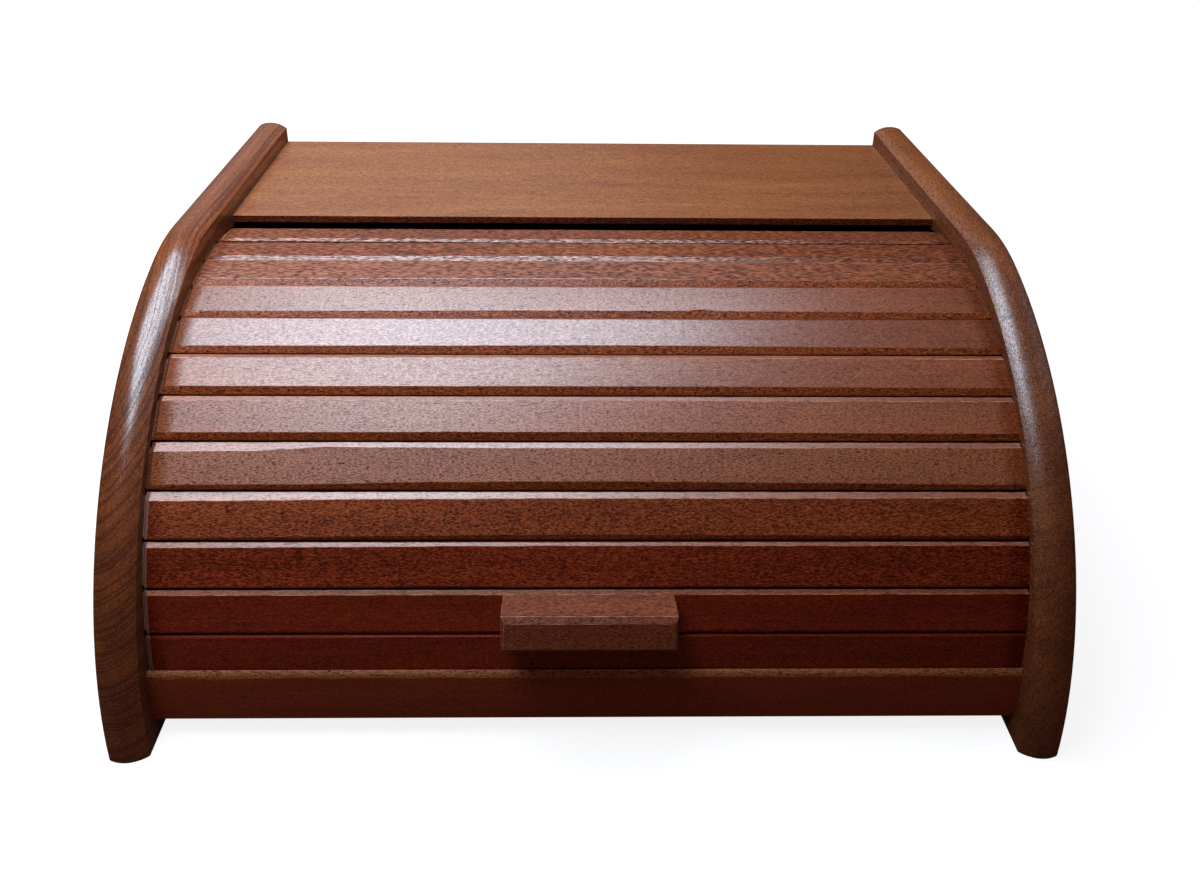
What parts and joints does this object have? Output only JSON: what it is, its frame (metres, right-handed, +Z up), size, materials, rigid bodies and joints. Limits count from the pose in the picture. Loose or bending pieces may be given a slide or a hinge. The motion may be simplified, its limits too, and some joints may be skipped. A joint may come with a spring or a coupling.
{
  "type": "roll-front bread box",
  "caption": "Wooden bread box with curved, grooved sides, a flat top board and a slatted roll that slides up and back on a handle bar.",
  "frame": {"origin": "on the surface the box stands on, under the middle of its bounding box", "axes": "+X to the right as seen from the front, +Y to the back, +Z up"},
  "size_m": [0.38, 0.2922, 0.1684],
  "materials": {
    "case_wood": "satin stain",
    "slat_wood": "satin stain",
    "handle_wood": "satin stain",
    "board_wood": "thin stain",
    "dowel_wood": "raw",
    "tape_cloth": "canvas",
    "steel": "zinc plated"
  },
  "bodies": {
    "case": {"side_panel_left": "case_wood", "side_panel_right": "case_wood", "top_board": "case_wood", "front_rail": "case_wood", "bottom_board": "board_wood", "back_panel": "board_wood", "rail_dowels": "dowel_wood", "back_brads": "steel"},
    "roll": {"slat_01": "slat_wood", "slat_02": "slat_wood", "slat_03": "slat_wood", "slat_04": "slat_wood", "slat_05": "slat_wood", "slat_06": "slat_wood", "slat_07": "slat_wood", "slat_08": "slat_wood", "slat_09": "slat_wood", "slat_10": "slat_wood", "slat_11": "slat_wood", "slat_12": "slat_wood", "cloth_tape_left": "tape_cloth", "cloth_tape_right": "tape_cloth", "handle": "handle_wood", "handle_screws": "steel"}
  },
  "joints": [
    {"name": "roll_turn", "type": "hinge", "parent": "case", "child": "roll", "pos_m": [0, 0.0053, 0.0196], "axis": [-1, 0, 0], "range_deg": [0, 80.8]}
  ]
}
